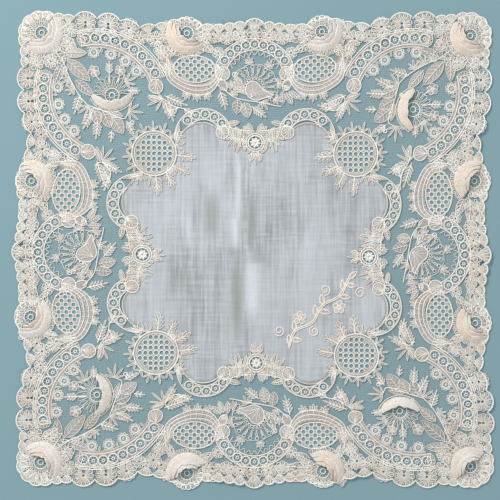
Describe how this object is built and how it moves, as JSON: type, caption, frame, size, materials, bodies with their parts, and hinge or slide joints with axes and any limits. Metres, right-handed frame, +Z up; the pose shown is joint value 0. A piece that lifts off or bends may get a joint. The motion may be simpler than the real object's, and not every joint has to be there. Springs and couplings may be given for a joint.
{
  "type": "lace handkerchief",
  "caption": "Square needle-lace handkerchief lying flat: scalloped lace border with raised rose petals and pierced arches round a lobed linen centre",
  "frame": {"origin": "middle of the cloth's box, on the plane that it lies on", "axes": "+Z up out of the cloth's right side, +X along the edge that is at the bottom of the picture, to the right, +Y away from that edge"},
  "size_m": [0.3058, 0.3025, 0.0066],
  "materials": {
    "linen": "fine semi-sheer white linen lawn, plain weave, matt",
    "lace": "cream-white cotton needle lace, matt",
    "raised_petal": "closely stitched raised cotton petals, warm white, matt"
  },
  "bodies": {
    "root": {"linen_centre": "linen", "lace_border": "lace", "petal_corner_top_left_outer": "raised_petal", "petal_corner_top_left_inner": "raised_petal", "petal_corner_top_right_outer": "raised_petal", "petal_corner_top_right_inner": "raised_petal", "petal_corner_bottom_right_outer": "raised_petal", "petal_corner_bottom_right_inner": "raised_petal", "petal_corner_bottom_left_outer": "raised_petal", "petal_corner_bottom_left_inner": "raised_petal", "petal_top_left_outer": "raised_petal", "petal_top_left_inner": "raised_petal", "petal_top_right_outer": "raised_petal", "petal_top_right_inner": "raised_petal", "petal_left_upper_outer": "raised_petal", "petal_left_upper_inner": "raised_petal", "petal_left_lower_outer": "raised_petal", "petal_left_lower_inner": "raised_petal", "petal_right_upper_outer": "raised_petal", "petal_right_upper_inner": "raised_petal", "petal_right_lower_outer": "raised_petal", "petal_right_lower_inner": "raised_petal", "petal_bottom_left_outer": "raised_petal", "petal_bottom_left_inner": "raised_petal", "petal_bottom_right_outer": "raised_petal", "petal_bottom_right_inner": "raised_petal", "petal_inner_top_left_outer": "raised_petal", "petal_inner_top_right_outer": "raised_petal", "petal_inner_bottom_right_outer": "raised_petal", "petal_inner_bottom_left_outer": "raised_petal"}
  },
  "joints": []
}
